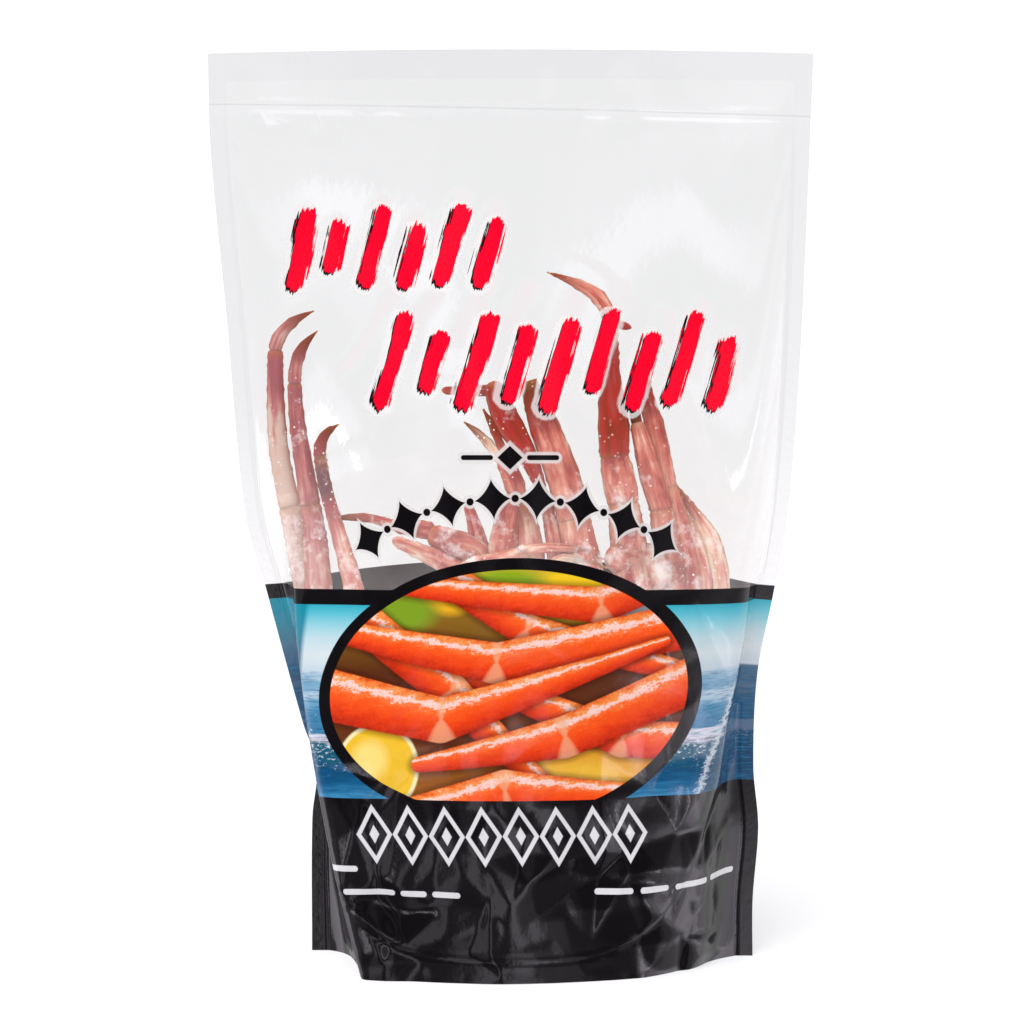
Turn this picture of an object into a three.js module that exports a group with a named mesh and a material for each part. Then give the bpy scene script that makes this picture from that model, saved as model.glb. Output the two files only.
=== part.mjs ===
// A sealed stand-up pouch of frozen snow crab clusters, standing on its opened bottom gusset.
// The pouch is clear laminate film, printed over its lower half and heat sealed down both sides,
// across the top and round the bottom. It is modelled as one solid out to the film.
//
// Frame: X runs across the pouch, -Y is its front, +Z is up. The origin is the middle of the base,
// on the surface that the pouch stands on. Sizes are in millimetres.

import * as THREE from "three";

// Driving dimensions.
const WIDTH = 305; // across the top, where the pouch is flat
const HEIGHT = 470; // from the table to the top edge
const BASE_DEPTH = 112; // front to back across the opened gusset
const SIDE_SEAL = 9; // width of the heat seal down each side
const SEAL_THICKNESS = 0.8; // two films welded together, thickened so that the solid is sound
const TOP_SEAL = 14; // height of the heat seal across the top
const ZIP_HEIGHT = 440; // middle of the press-to-close zip above the table
const ZIP_SPACING = 3.4; // between the two rails of the zip
const ZIP_RELIEF = 0.9; // how far a rail stands proud of the film
const ZIP_SLOPE = -0.02; // the zip runs a little downhill to the right
const BOTTOM_SEAL = 12; // height of the gusset's seal in the middle of the base
const SEAL_STEP = 1.6; // how far the filled film stands out past the gusset's seal
const GUSSET_RECESS = 4; // the gusset film is this far off the table just inside its skirt

const HALF_WIDTH = WIDTH / 2;
const HALF_DEPTH = BASE_DEPTH / 2;

// Each profile lists [share of the pouch's height, value]. Widths are shares of the half width,
// and depths are shares of the half depth of the base.
const LEFT_EDGE = [
  [0, 0.691], [0.149, 0.686], [0.209, 0.668], [0.255, 0.713], [0.411, 0.833],
  [0.5, 0.9], [0.719, 0.952], [0.894, 0.995], [1, 1],
];
const RIGHT_EDGE = [
  [0, 0.836], [0.064, 0.835], [0.145, 0.852], [0.213, 0.834], [0.319, 0.846],
  [0.411, 0.898], [0.511, 0.943], [0.691, 0.975], [1, 1],
];
const BULGE = [
  [0, 1], [0.1, 1.03], [0.21, 1.03], [0.32, 0.98], [0.43, 0.87], [0.53, 0.71],
  [0.64, 0.51], [0.75, 0.31], [0.85, 0.14], [0.91, 0.045], [0.95, 0.02], [1, 0.01],
];
// The film folds forward along a crease near each side. The left one is sharp and overhangs its seal.
const LEFT_CREASE = [
  [0, 0.5], [0.09, 0.57], [0.225, 0.655], [0.35, 0.71], [0.42, 0.72],
  [0.5, 0.71], [0.6, 0.7], [0.75, 0.71], [1, 0.74],
];
const LEFT_CREASE_DEPTH = [[0, 0.88], [0.225, 0.7], [0.35, 0.52], [0.42, 0.4], [0.5, 0.3], [1, 0.24]];
const RIGHT_CREASE = [
  [0, 0.61], [0.13, 0.65], [0.245, 0.715], [0.35, 0.78], [0.42, 0.79],
  [0.5, 0.77], [0.6, 0.76], [0.75, 0.78], [1, 0.82],
];
const RIGHT_CREASE_DEPTH = [[0, 0.78], [0.13, 0.68], [0.245, 0.52], [0.35, 0.4], [0.5, 0.29], [1, 0.24]];
// How much sooner the film leaves the seals than it does low down: a share of the way to the crease
// and of the crease's depth.
const SEAL_FLARE = [[0, 0], [0.35, 0], [0.5, 0.3], [1, 0.4]];
const CREASE_SOFTNESS = [[0, 0], [0.4, 0.01], [0.55, 0.05], [1, 0.07]]; // half gap of its two control points
const CREASE_SLOPE = [[0, 0.8], [0.42, 0.8], [0.5, 0.6], [0.6, 0.35], [0.75, 0.15], [0.9, 0.01], [1, 0]];
const BACK_CREASE = [[0, 0.14], [0.4, 0.14], [0.5, 0.16], [1, 0.18]]; // how far inside the seal, as a share of half width
const BACK_CREASE_DEPTH = [[0, 0.8], [0.25, 0.6], [0.4, 0.46], [0.5, 0.38], [1, 0.3]];
const RIGHT_SEAL_FORWARD = [[0, 9], [0.15, 5], [0.32, 0], [1, 0]]; // in millimetres
const LEFT_SEAL_FORWARD = [[0, 0], [0.2, -3], [0.4, 0], [1, 0]];
const ROW_BOW = [[0, 0], [0.2, 4.3], [0.42, 7.5], [0.64, 6], [0.9, 1], [1, 2]]; // rise of the film in the middle

// Hollows pressed into the front, where the clusters don't fill the film: centre, reach and push.
const HOLLOWS = [
  { x: 113, z: 73, reachX: 10, reachZ: 10, push: 2.2 },
  { x: 116, z: 140, reachX: 8, reachZ: 26, push: 4 },
  { x: -60, z: 38, reachX: 11, reachZ: 8, push: 3 },
];

// Where shells press on the front film from inside, as [x, z, x, z, push, fall]: both ends, how far
// the film is pushed out there, and how steeply it drops away to either side.
const PRESSED = [
  [-66, 31, -66, 16, 1.8, 0.16], [-59, 15, -8, 34, 1.6, 0.09], [-8, 34, 27, 33, 1.2, 0.08],
  [0, 43, -20, 74, 2.0, 0.07], [0, 43, 22, 66, 1.9, 0.09], [-58, 52, -38, 84, 1.3, 0.07],
  [36, 38, 66, 40, 1.4, 0.1], [68, 42, 83, 27, 2.6, 0.2], [83, 27, 92, 44, 2.6, 0.22],
  [101, 72, 96, 40, 3.0, 0.2], [112, 66, 104, 22, 3.2, 0.22], [52, 84, 78, 58, 1.6, 0.08],
  [92, 100, 98, 80, 2.2, 0.14], [-40, 8, 12, 6, 0.8, 0.06], [-78, 96, -66, 60, 1.2, 0.07],
  [-84, 150, -72, 118, 1.0, 0.05], [-30, 130, 16, 150, 0.9, 0.035], [30, 110, 66, 132, 1.0, 0.04],
  [-50, 165, -10, 180, 0.8, 0.03], [84, 168, 96, 128, 1.6, 0.07], [40, 176, 74, 160, 0.9, 0.04],
  [-20, 96, 30, 92, 0.9, 0.04],
];
const SLACK_SAG = -2; // the film between them hangs back no further than this
const TENT_TOP = 215; // above the clusters' bulk the film hangs free
const TENT_FADE = 40;

// A smooth curve through [place, value] pairs, by cubic steps between them.
function follow(keys, place) {
  const last = keys.length - 1;
  let i = 0;
  while (i < last - 1 && place > keys[i + 1][0]) i += 1;
  const [x0, y0] = keys[i];
  const [x1, y1] = keys[i + 1];
  const slope = (a, b) => (keys[b][1] - keys[a][1]) / (keys[b][0] - keys[a][0]);
  const before = i > 0 ? slope(i - 1, i + 1) : slope(i, i + 1);
  const after = i + 1 < last ? slope(i, i + 2) : slope(i, i + 1);
  const span = x1 - x0;
  const t = THREE.MathUtils.clamp((place - x0) / span, 0, 1);
  const t2 = t * t;
  const t3 = t2 * t;
  const start = (2 * t3 - 3 * t2 + 1) * y0 + (t3 - 2 * t2 + t) * span * before;
  const end = (3 * t2 - 2 * t3) * y1 + (t3 - t2) * span * after;
  return start + end;
}

// A point of a clamped cubic B-spline, with t from 0 to 1 over all its spans.
function splinePoint(controls, t) {
  const first = controls[0];
  const last = controls[controls.length - 1];
  const padded = [first, first, ...controls, last, last];
  const spans = padded.length - 3;
  const place = Math.min(t * spans, spans - 1e-9);
  const i = Math.floor(place);
  const f = place - i;
  const weights = [
    (1 - f) ** 3 / 6,
    (3 * f ** 3 - 6 * f ** 2 + 4) / 6,
    (-3 * f ** 3 + 3 * f ** 2 + 3 * f + 1) / 6,
    f ** 3 / 6,
  ];
  const point = new THREE.Vector2();
  weights.forEach((weight, k) => point.addScaledVector(padded[i + k], weight));
  return point;
}

// Control points of the film from seal to seal at one height, seen from above, for the front.
function frontControls(share) {
  const at = (x, depth) => new THREE.Vector2(x, -depth);
  const bulge = follow(BULGE, share) * HALF_DEPTH;
  const soft = follow(CREASE_SOFTNESS, share) * HALF_WIDTH;
  const flare = follow(SEAL_FLARE, share);
  const sealLeft = -follow(LEFT_EDGE, share) * HALF_WIDTH + SIDE_SEAL;
  const sealRight = follow(RIGHT_EDGE, share) * HALF_WIDTH - SIDE_SEAL;
  const creaseLeft = -follow(LEFT_CREASE, share) * HALF_WIDTH;
  const creaseRight = follow(RIGHT_CREASE, share) * HALF_WIDTH;
  const depthLeft = follow(LEFT_CREASE_DEPTH, share) * bulge;
  const depthRight = follow(RIGHT_CREASE_DEPTH, share) * bulge;
  const steepness = follow(CREASE_SLOPE, share);
  const forwardLeft = follow(LEFT_SEAL_FORWARD, share);
  const forwardRight = follow(RIGHT_SEAL_FORWARD, share);
  const between = THREE.MathUtils.lerp;
  return [
    at(sealLeft, forwardLeft),
    at(between(sealLeft, creaseLeft, 0.7 - flare), between(forwardLeft, depthLeft, 0.16 + flare)),
    at(creaseLeft - soft, depthLeft - soft * steepness),
    at(creaseLeft + soft, depthLeft + soft * steepness),
    at(between(creaseLeft, creaseRight, 0.25), between(depthLeft, bulge, 0.8)),
    at(between(creaseLeft, creaseRight, 0.5), bulge * 1.02),
    at(between(creaseLeft, creaseRight, 0.75), between(depthRight, bulge, 0.75)),
    at(creaseRight, depthRight),
    at(between(sealRight, creaseRight, 0.55 - flare / 2), between(forwardRight, depthRight, 0.3 + flare)),
    at(sealRight, forwardRight),
  ];
}

// The same for the back, which is fuller and has no sharp crease.
function backControls(share) {
  const at = (x, depth) => new THREE.Vector2(x, depth);
  const bulge = follow(BULGE, share) * HALF_DEPTH;
  const sealLeft = -follow(LEFT_EDGE, share) * HALF_WIDTH + SIDE_SEAL;
  const sealRight = follow(RIGHT_EDGE, share) * HALF_WIDTH - SIDE_SEAL;
  const flare = follow(SEAL_FLARE, share);
  const inside = follow(BACK_CREASE, share) * HALF_WIDTH;
  const depth = follow(BACK_CREASE_DEPTH, share) * bulge;
  const forwardLeft = follow(LEFT_SEAL_FORWARD, share);
  const forwardRight = follow(RIGHT_SEAL_FORWARD, share);
  const left = sealLeft + inside;
  const right = sealRight - inside;
  const between = THREE.MathUtils.lerp;
  return [
    at(sealLeft, -forwardLeft),
    at(between(sealLeft, left, 0.7 - flare), depth * (0.25 + flare)),
    at(left, depth),
    at(between(left, right, 0.12), between(depth, bulge, 0.5)),
    at(between(left, right, 0.3), bulge * 0.96),
    at(between(left, right, 0.5), bulge * 1.01),
    at(between(left, right, 0.7), bulge * 0.96),
    at(right, depth),
    at(between(sealRight, right, 0.6 - flare), depth * (0.3 + flare)),
    at(sealRight, -forwardRight),
  ];
}

// How far the hollows push the front film back at a place on it.
function hollowPush(x, z) {
  let push = 0;
  for (const h of HOLLOWS) {
    const away = ((x - h.x) / h.reachX) ** 2 + ((z - h.z) / h.reachZ) ** 2;
    push += h.push * Math.exp(-away);
  }
  return push;
}

// The front film held out over the shells that press on it, and falling away flat between them.
function tented(x, z) {
  let held = SLACK_SAG;
  for (const [x0, z0, x1, z1, push, fall] of PRESSED) {
    const runX = x1 - x0;
    const runZ = z1 - z0;
    const along = ((x - x0) * runX + (z - z0) * runZ) / (runX ** 2 + runZ ** 2);
    const t = THREE.MathUtils.clamp(along, 0, 1);
    const away = Math.hypot(x - x0 - t * runX, z - z0 - t * runZ);
    held = Math.max(held, push - fall * away);
  }
  return held * THREE.MathUtils.clamp((TENT_TOP - z) / TENT_FADE, 0, 1);
}

// The gusset's seal is a band along the bottom edge that climbs towards the corners. The film stands
// out above it, so inside the band the film is stepped back.
function sealStep(x, z) {
  const climb = 30 * (Math.abs(x) / (0.55 * HALF_WIDTH)) ** 4;
  const above = (z - BOTTOM_SEAL - climb) / 3;
  return SEAL_STEP / (1 + Math.exp(2.5 * above));
}

// Both rails of the zip stand proud of the film across the whole pouch.
function zipRelief(x, z) {
  const middle = ZIP_HEIGHT + ZIP_SLOPE * x;
  let relief = 0;
  for (const side of [-1, 1]) {
    const away = (z - middle - (side * ZIP_SPACING) / 2) / 1.1;
    relief += ZIP_RELIEF * Math.exp(-away * away);
  }
  return relief;
}

// Columns across the pouch: the left seal, the body from seal to seal, the right seal.
const BODY_COLUMNS = 33; // three to each span of the section's spline
const SEAL_COLUMNS = 1;
const COLUMNS = BODY_COLUMNS + 2 * SEAL_COLUMNS;

// A point of the front (side -1) or back (side +1) film, by column and by share of the height.
function filmPoint(side, column, share) {
  const controls = side < 0 ? frontControls(share) : backControls(share);
  const body = (column - SEAL_COLUMNS) / BODY_COLUMNS;
  const flat = splinePoint(controls, THREE.MathUtils.clamp(body, 0, 1));
  const outwards = column < SEAL_COLUMNS ? -1 : column > COLUMNS - SEAL_COLUMNS ? 1 : 0;
  const across = flat.x + outwards * SIDE_SEAL;
  const rise = follow(ROW_BOW, share) * Math.max(0, Math.sin(Math.PI * (across / WIDTH + 0.5))) ** 0.8;
  const z = share * (HEIGHT - ROW_BOW[ROW_BOW.length - 1][1]) + rise;
  let depth = flat.y + (side * SEAL_THICKNESS) / 2;
  if (!outwards && body > 0 && body < 1) {
    const inBody = Math.min(1, 12 * body * (1 - body)); // the relief dies out at the seals
    depth += side * zipRelief(across, z) * inBody;
    depth -= side * sealStep(across, z) * inBody;
    if (side < 0) depth += (hollowPush(across, z) - tented(across, z)) * inBody;
  }
  return new THREE.Vector3(across, depth, z);
}

// Shares of the height where the rows lie: close together at the base, the zip and the top seal.
function rowShares() {
  const heights = [0, 4, 8, 12, 16];
  for (let z = 24; z < ZIP_HEIGHT - 10; z += 11) heights.push(z);
  for (const step of [-6, -1, 0, 1, 6]) heights.push(ZIP_HEIGHT + step * 1.7);
  heights.push(HEIGHT - TOP_SEAL, HEIGHT);
  return heights.map((z) => z / HEIGHT);
}

// The gusset's underside, from the front's bottom edge to the back's. The skirt stands on the table,
// the gusset film lifts off it just inside, and the contents press its middle flat on the table.
const GUSSET_STEPS = [0, 0.03, 0.08, 0.2, 0.35, 0.65, 0.8, 0.92, 0.97, 1];
const GUSSET_LIFT = [0, 0.9, 1, 0.35, 0, 0, 0.35, 1, 0.9, 0];

function gussetPoint(column, step) {
  const front = filmPoint(-1, column, 0);
  const back = filmPoint(1, column, 0);
  const point = front.clone().lerp(back, GUSSET_STEPS[step]);
  const opened = Math.min(1, Math.max(0, (back.y - front.y - 12) / 40));
  point.z = GUSSET_RECESS * GUSSET_LIFT[step] * opened;
  return point;
}

// The pouch's skin: both films, the gusset, the top edge and the outer edges of the side seals.
function pouchGeometry() {
  const positions = [];
  const index = [];
  const add = (point) => positions.push(point.x, point.y, point.z) / 3 - 1;
  const quad = (a, b, c, d) => index.push(a, b, c, a, c, d);
  const shares = rowShares();
  const film = (side) => shares.map((share) => {
    const row = [];
    for (let column = 0; column <= COLUMNS; column += 1) row.push(add(filmPoint(side, column, share)));
    return row;
  });
  const front = film(-1);
  const back = film(1);
  const top = shares.length - 1;
  for (let r = 0; r < top; r += 1) {
    for (let c = 0; c < COLUMNS; c += 1) {
      quad(front[r][c], front[r][c + 1], front[r + 1][c + 1], front[r + 1][c]);
      quad(back[r][c + 1], back[r][c], back[r + 1][c], back[r + 1][c + 1]);
    }
    quad(back[r][0], front[r][0], front[r + 1][0], back[r + 1][0]);
    quad(front[r][COLUMNS], back[r][COLUMNS], back[r + 1][COLUMNS], front[r + 1][COLUMNS]);
  }
  for (let c = 0; c < COLUMNS; c += 1) quad(front[top][c], front[top][c + 1], back[top][c + 1], back[top][c]);

  const lastStep = GUSSET_STEPS.length - 1;
  const gusset = GUSSET_STEPS.map((_, step) => {
    if (step === 0) return front[0];
    if (step === lastStep) return back[0];
    return front[0].map((_, column) => add(gussetPoint(column, step)));
  });
  for (let s = 0; s < lastStep; s += 1) {
    for (let c = 0; c < COLUMNS; c += 1) {
      quad(gusset[s][c], gusset[s + 1][c], gusset[s + 1][c + 1], gusset[s][c + 1]);
    }
    if (s > 0 && s < lastStep - 1) {
      index.push(front[0][0], gusset[s + 1][0], gusset[s][0]);
      index.push(front[0][COLUMNS], gusset[s][COLUMNS], gusset[s + 1][COLUMNS]);
    }
  }
  index.push(front[0][0], gusset[lastStep][0], gusset[lastStep - 1][0]);
  index.push(front[0][COLUMNS], gusset[lastStep - 1][COLUMNS], gusset[lastStep][COLUMNS]);

  const geometry = new THREE.BufferGeometry();
  geometry.setAttribute("position", new THREE.Float32BufferAttribute(positions, 3));
  geometry.setIndex(index);
  geometry.computeBoundingBox();
  const middle = geometry.boundingBox.getCenter(new THREE.Vector3());
  geometry.translate(-middle.x, -middle.y, -geometry.boundingBox.min.z);
  geometry.computeVertexNormals();
  return geometry;
}

const film = new THREE.MeshStandardMaterial({
  color: 0xe9ecee,
  roughness: 0.12,
  metalness: 0,
  transparent: true,
  opacity: 0.45,
});

const part = new THREE.Group();
const pouch = new THREE.Mesh(pouchGeometry(), film);
pouch.name = "pouch";
part.add(pouch);

export default part;
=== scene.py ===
import math

import bpy
import numpy as np
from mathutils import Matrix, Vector
from mathutils.geometry import delaunay_2d_cdt


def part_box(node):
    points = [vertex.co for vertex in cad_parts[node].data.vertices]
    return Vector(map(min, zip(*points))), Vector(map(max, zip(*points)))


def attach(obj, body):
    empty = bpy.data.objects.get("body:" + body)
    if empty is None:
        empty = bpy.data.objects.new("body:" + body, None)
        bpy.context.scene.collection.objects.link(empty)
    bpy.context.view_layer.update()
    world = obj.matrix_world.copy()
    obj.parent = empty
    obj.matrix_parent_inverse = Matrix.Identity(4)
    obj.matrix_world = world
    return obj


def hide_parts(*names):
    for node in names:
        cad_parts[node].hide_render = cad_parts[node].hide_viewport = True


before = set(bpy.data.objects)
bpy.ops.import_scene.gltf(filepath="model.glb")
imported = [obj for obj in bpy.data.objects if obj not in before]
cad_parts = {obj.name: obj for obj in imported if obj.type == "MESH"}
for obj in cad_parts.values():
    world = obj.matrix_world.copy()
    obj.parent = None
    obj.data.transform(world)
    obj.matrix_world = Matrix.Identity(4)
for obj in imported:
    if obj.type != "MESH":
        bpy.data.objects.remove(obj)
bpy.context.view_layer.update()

# ------------------------------------------------------------
# The studio: a seamless white sweep lit by a soft overhead bank and two tall soft boxes, with the
# camera a little above the pouch and straight in front of it.
# ------------------------------------------------------------

def linear(hex_colour):
    """An sRGB hex colour as the linear RGBA that nodes want."""
    channels = [int(hex_colour[i:i + 2], 16) / 255 for i in (1, 3, 5)]
    return [c / 12.92 if c <= 0.04045 else ((c + 0.055) / 1.055) ** 2.4 for c in channels] + [1.0]


def node(kind, *inputs, stops=(), **settings):
    """Adds a node to the tree in hand and gives its first output. A kind may end in an operation or a
    data type, and is a Math node's operation where it is in capitals alone. Inputs are values, hex
    colours and other nodes' outputs, in the order of the sockets or in a dict by name. Stops are a
    colour ramp's positions, with greys or hex colours."""
    kind, *choice = ("Math " + kind if kind.isupper() else kind).split()
    made = tree.nodes.new("ShaderNode" + kind)
    if choice:
        settings["operation" if kind.endswith("Math") else "data_type"] = choice[0]
    for name, value in settings.items():
        setattr(made, name, value)
    in_use = [socket for socket in made.inputs if socket.enabled]
    if inputs and isinstance(inputs[0], dict):
        wanted = [(made.inputs[name], value) for name, value in inputs[0].items()]
    else:
        wanted = zip(in_use, inputs)
    for socket, value in wanted:
        if isinstance(value, bpy.types.NodeSocket):
            tree.links.new(value, socket)
        else:
            socket.default_value = linear(value) if isinstance(value, str) else value
    if stops:
        elements = made.color_ramp.elements
        for _ in stops[2:]:
            elements.new(1.0)
        for element, (position, colour) in zip(elements, stops):
            element.position = position
            element.color = linear(colour) if isinstance(colour, str) else (colour,) * 3 + (1,)
    return next((socket for socket in made.outputs if socket.enabled), None)


def new_material(name):
    """An empty node material, and its tree to fill."""
    material = bpy.data.materials.new(name)
    material.use_nodes = True
    material.node_tree.nodes.clear()
    return material, material.node_tree


MM = 0.001


def mesh_piece(name, points, faces, materials, slots=None):
    """A mesh object from points in millimetres. slots gives each face's material."""
    mesh = bpy.data.meshes.new(name)
    mesh.from_pydata((np.asarray(points) * MM).tolist(), [], faces)
    for material in materials:
        mesh.materials.append(material)
    if slots:
        mesh.polygons.foreach_set("material_index", slots)
    mesh.polygons.foreach_set("use_smooth", [True] * len(faces))
    piece = bpy.data.objects.new(name, mesh)
    scene.collection.objects.link(piece)
    return piece


scene = bpy.context.scene
scene.view_settings.view_transform = "Standard"
scene.view_settings.look = "None"

pouch_low, pouch_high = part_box("pouch")
pouch_height = pouch_high.z - pouch_low.z

camera_data = bpy.data.cameras.new("studio_camera")
camera_data.lens = 85
camera_data.sensor_width = 36
camera = bpy.data.objects.new("studio_camera", camera_data)
scene.collection.objects.link(camera)
scene.camera = camera
camera_rise = math.radians(8)
camera_distance = 1.25
camera_target = Vector((0.00075, 0, 0.4998 * pouch_height))
camera_way = Vector((0, -math.cos(camera_rise), math.sin(camera_rise)))
camera.location = camera_target + camera_distance * camera_way
camera.rotation_euler = (math.pi / 2 - camera_rise, 0, 0)

# Everything the lens sees past the floor is blown out to white. The glossy film mirrors the white
# sweep edge on, and elsewhere a dark room with a few grey walls and cards in it, in front and
# behind alike, so the black print keeps its depth.
world = bpy.data.worlds.new("white_studio")
scene.world = world
world.use_nodes = True
world.cycles.sampling_method = "NONE"
tree = world.node_tree
tree.nodes.clear()
facing = node("SeparateXYZ", node("TexCoord")).node.outputs
from_left = node("MULTIPLY_ADD", facing["X"], 0.5, 0.5)
from_floor = node("MULTIPLY_ADD", facing["Z"], 0.5, 0.5)
cards = node("ValToRGB", from_left, stops=[
    (0.0, 2.4), (0.08, 0.4), (0.17, 0.12), (0.27, 0.8), (0.33, 0.1), (0.41, 1.1), (0.46, 0.08),
    (0.53, 1.5), (0.58, 0.4), (0.66, 0.12), (0.75, 0.9), (0.84, 1.5), (0.91, 2.4), (0.96, 1.4)])
by_height = node("ValToRGB", from_floor, stops=[
    (0.0, 0.9), (0.12, 0.4), (0.22, 0.5), (0.28, 1.15), (0.4, 1.15), (0.42, 0.7), (0.46, 0.3),
    (0.52, 0.18), (0.6, 0.12), (0.75, 0.12), (0.9, 0.3)])
soft_boxes = node("ValToRGB", from_left, stops=[
    (0.0, 0.0), (0.205, 4.0), (0.22, 0.0), (0.79, 5.0), (0.805, 0.0)])
box_heights = node("ValToRGB", from_floor, stops=[(0.0, 0.0), (0.3, 1.0), (0.42, 0.0)])
for edged in (cards, soft_boxes, box_heights):
    edged.node.color_ramp.interpolation = "CONSTANT"
cards_seen = node("VectorMath MULTIPLY", cards, by_height)
boxes_seen = node("VectorMath MULTIPLY_ADD", soft_boxes, box_heights, cards_seen)
violet_walls = node("VectorMath MULTIPLY", boxes_seen, (1.0, 0.93, 1.04))
to_sweep = node("ValToRGB", facing["Y"], stops=[(0.0, 0.0), (0.3, 1.0), (0.55, 1.0), (0.8, 0.0)])
mirrored_room = node("Mix RGBA", to_sweep, violet_walls, "#ffffff")
ray = node("LightPath").node.outputs
lit_room = node("Background", (0.72, 0.72, 0.735, 1), 1.0)
mirrored = node("MixShader", ray["Is Glossy Ray"], lit_room, node("Background", mirrored_room, 1.0))
white_sweep = node("Background", "#ffffff", 1.1)
node("OutputWorld", node("MixShader", ray["Is Camera Ray"], mirrored, white_sweep))

# The lamps. The umbrella is a very large white one high on the left: it washes the floor out and
# leaves one soft shadow.
umbrella_angle = math.radians(55)
lamps_aim = Vector((0, 0, 0.1))
for name, kind, place, energy, *size in (
        ("overhead_bank", "AREA", (0, -0.1, 1.7), 20, 1.8, 1.4),
        ("left_soft_box", "AREA", (-1.15, -0.72, 0.03), 3, 0.3, 0.5),
        ("right_soft_box", "AREA", (1.2, -0.6, 0.03), 2.5, 0.28, 0.5),
        ("left_umbrella", "SUN", (-0.9, -1.1, 2.0), 1.75)):
    light = bpy.data.lights.new(name, kind)
    light.energy = energy
    if size:
        light.shape = "RECTANGLE"
        light.size, light.size_y = size
    else:
        light.angle = umbrella_angle
    lamp = bpy.data.objects.new(name, light)
    lamp.location = place
    lamp.rotation_euler = (lamps_aim - Vector(place)).to_track_quat("-Z", "Y").to_euler()
    lamp.visible_glossy = False
    scene.collection.objects.link(lamp)

# The paper sweep. The film mirrors the dark room in front of it, not the paper.
paper, tree = new_material("white_seamless_paper")
node("OutputMaterial", node("BsdfPrincipled", {"Base Color": "#dcdcdd", "Roughness": 0.9}))
sweep_reach = 1000
corners = [(-1, -1, 0), (1, -1, 0), (1, 1, 0), (-1, 1, 0)]
floor = mesh_piece("floor", sweep_reach * np.array(corners), [(0, 1, 2, 3)], [paper])
floor.visible_glossy = False

# ------------------------------------------------------------
# The pouch film: a PET and PE laminate about 0.12 mm thick, welded down both sides, across the top
# and round the bottom gusset. It stands open at the base and closes to a flat header at the top.
# ------------------------------------------------------------

width = (pouch_high.x - pouch_low.x) / MM
height = pouch_height / MM
half_width = width / 2
half_depth = 56.0
side_seal = 9.0
seal_thickness = 0.5
top_seal = 14.0
zip_height = 440.0
zip_slope = -0.02

# The pouch's form by its share of the height: each line is [share, value] pairs. Edges and creases
# are shares of the half width from the middle, depths shares of the bulge, the rest millimetres.
LEFT_EDGE = [
    [0, 0.691], [0.149, 0.686], [0.209, 0.668], [0.255, 0.713], [0.411, 0.833], [0.5, 0.9],
    [0.719, 0.952], [0.894, 0.995], [1, 1]]
RIGHT_EDGE = [
    [0, 0.836], [0.064, 0.835], [0.145, 0.852], [0.213, 0.834], [0.319, 0.846], [0.411, 0.898],
    [0.511, 0.943], [0.691, 0.975], [1, 1]]
BULGE = [
    [0, 1], [0.1, 1.03], [0.21, 1.03], [0.32, 0.98], [0.43, 0.87], [0.53, 0.71], [0.64, 0.51],
    [0.75, 0.31], [0.85, 0.14], [0.91, 0.045], [0.95, 0.02], [1, 0.01]]
LEFT_CREASE = [
    [0, 0.5], [0.09, 0.57], [0.225, 0.655], [0.35, 0.71], [0.42, 0.72], [0.5, 0.71], [0.6, 0.7],
    [0.75, 0.71], [1, 0.74]]
LEFT_CREASE_DEPTH = [[0, 0.88], [0.225, 0.7], [0.35, 0.52], [0.42, 0.4], [0.5, 0.3], [1, 0.24]]
RIGHT_CREASE = [
    [0, 0.61], [0.13, 0.65], [0.245, 0.715], [0.35, 0.78], [0.42, 0.79], [0.5, 0.77], [0.6, 0.76],
    [0.75, 0.78], [1, 0.82]]
RIGHT_CREASE_DEPTH = [[0, 0.78], [0.13, 0.68], [0.245, 0.52], [0.35, 0.4], [0.5, 0.29], [1, 0.24]]
SEAL_FLARE = [[0, 0], [0.35, 0], [0.5, 0.3], [1, 0.4]]
CREASE_SOFTNESS = [[0, 0], [0.4, 0.01], [0.55, 0.05], [1, 0.07]]
CREASE_SLOPE = [[0, 0.8], [0.42, 0.8], [0.5, 0.6], [0.6, 0.35], [0.75, 0.15], [0.9, 0.01], [1, 0]]
BACK_CREASE = [[0, 0.14], [0.4, 0.14], [0.5, 0.16], [1, 0.18]]
BACK_CREASE_DEPTH = [[0, 0.8], [0.25, 0.6], [0.4, 0.46], [0.5, 0.38], [1, 0.3]]
LEFT_SEAL_FORWARD = [[0, 0], [0.2, -3], [0.4, 0], [1, 0]]
RIGHT_SEAL_FORWARD = [[0, 9], [0.15, 5], [0.32, 0], [1, 0]]
ROW_BOW = [[0, 0], [0.2, 4.3], [0.42, 7.5], [0.64, 6], [0.9, 1], [1, 2]]


def follow(keys, places):
    """A smooth curve through [place, value] pairs, read at a place or an array of them."""
    xs, ys = np.array(keys, float).T
    slopes = np.empty_like(ys)
    slopes[1:-1] = (ys[2:] - ys[:-2]) / (xs[2:] - xs[:-2])
    slopes[0] = (ys[1] - ys[0]) / (xs[1] - xs[0])
    slopes[-1] = (ys[-1] - ys[-2]) / (xs[-1] - xs[-2])
    places = np.asarray(places, float)
    i = np.clip(np.searchsorted(xs, places, side="right") - 1, 0, len(xs) - 2)
    span = xs[i + 1] - xs[i]
    t = np.clip((places - xs[i]) / span, 0, 1)
    start = (2 * t**3 - 3 * t**2 + 1) * ys[i] + (t**3 - 2 * t**2 + t) * span * slopes[i]
    end = (3 * t**2 - 2 * t**3) * ys[i + 1] + (t**3 - t**2) * span * slopes[i + 1]
    return start + end


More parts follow.
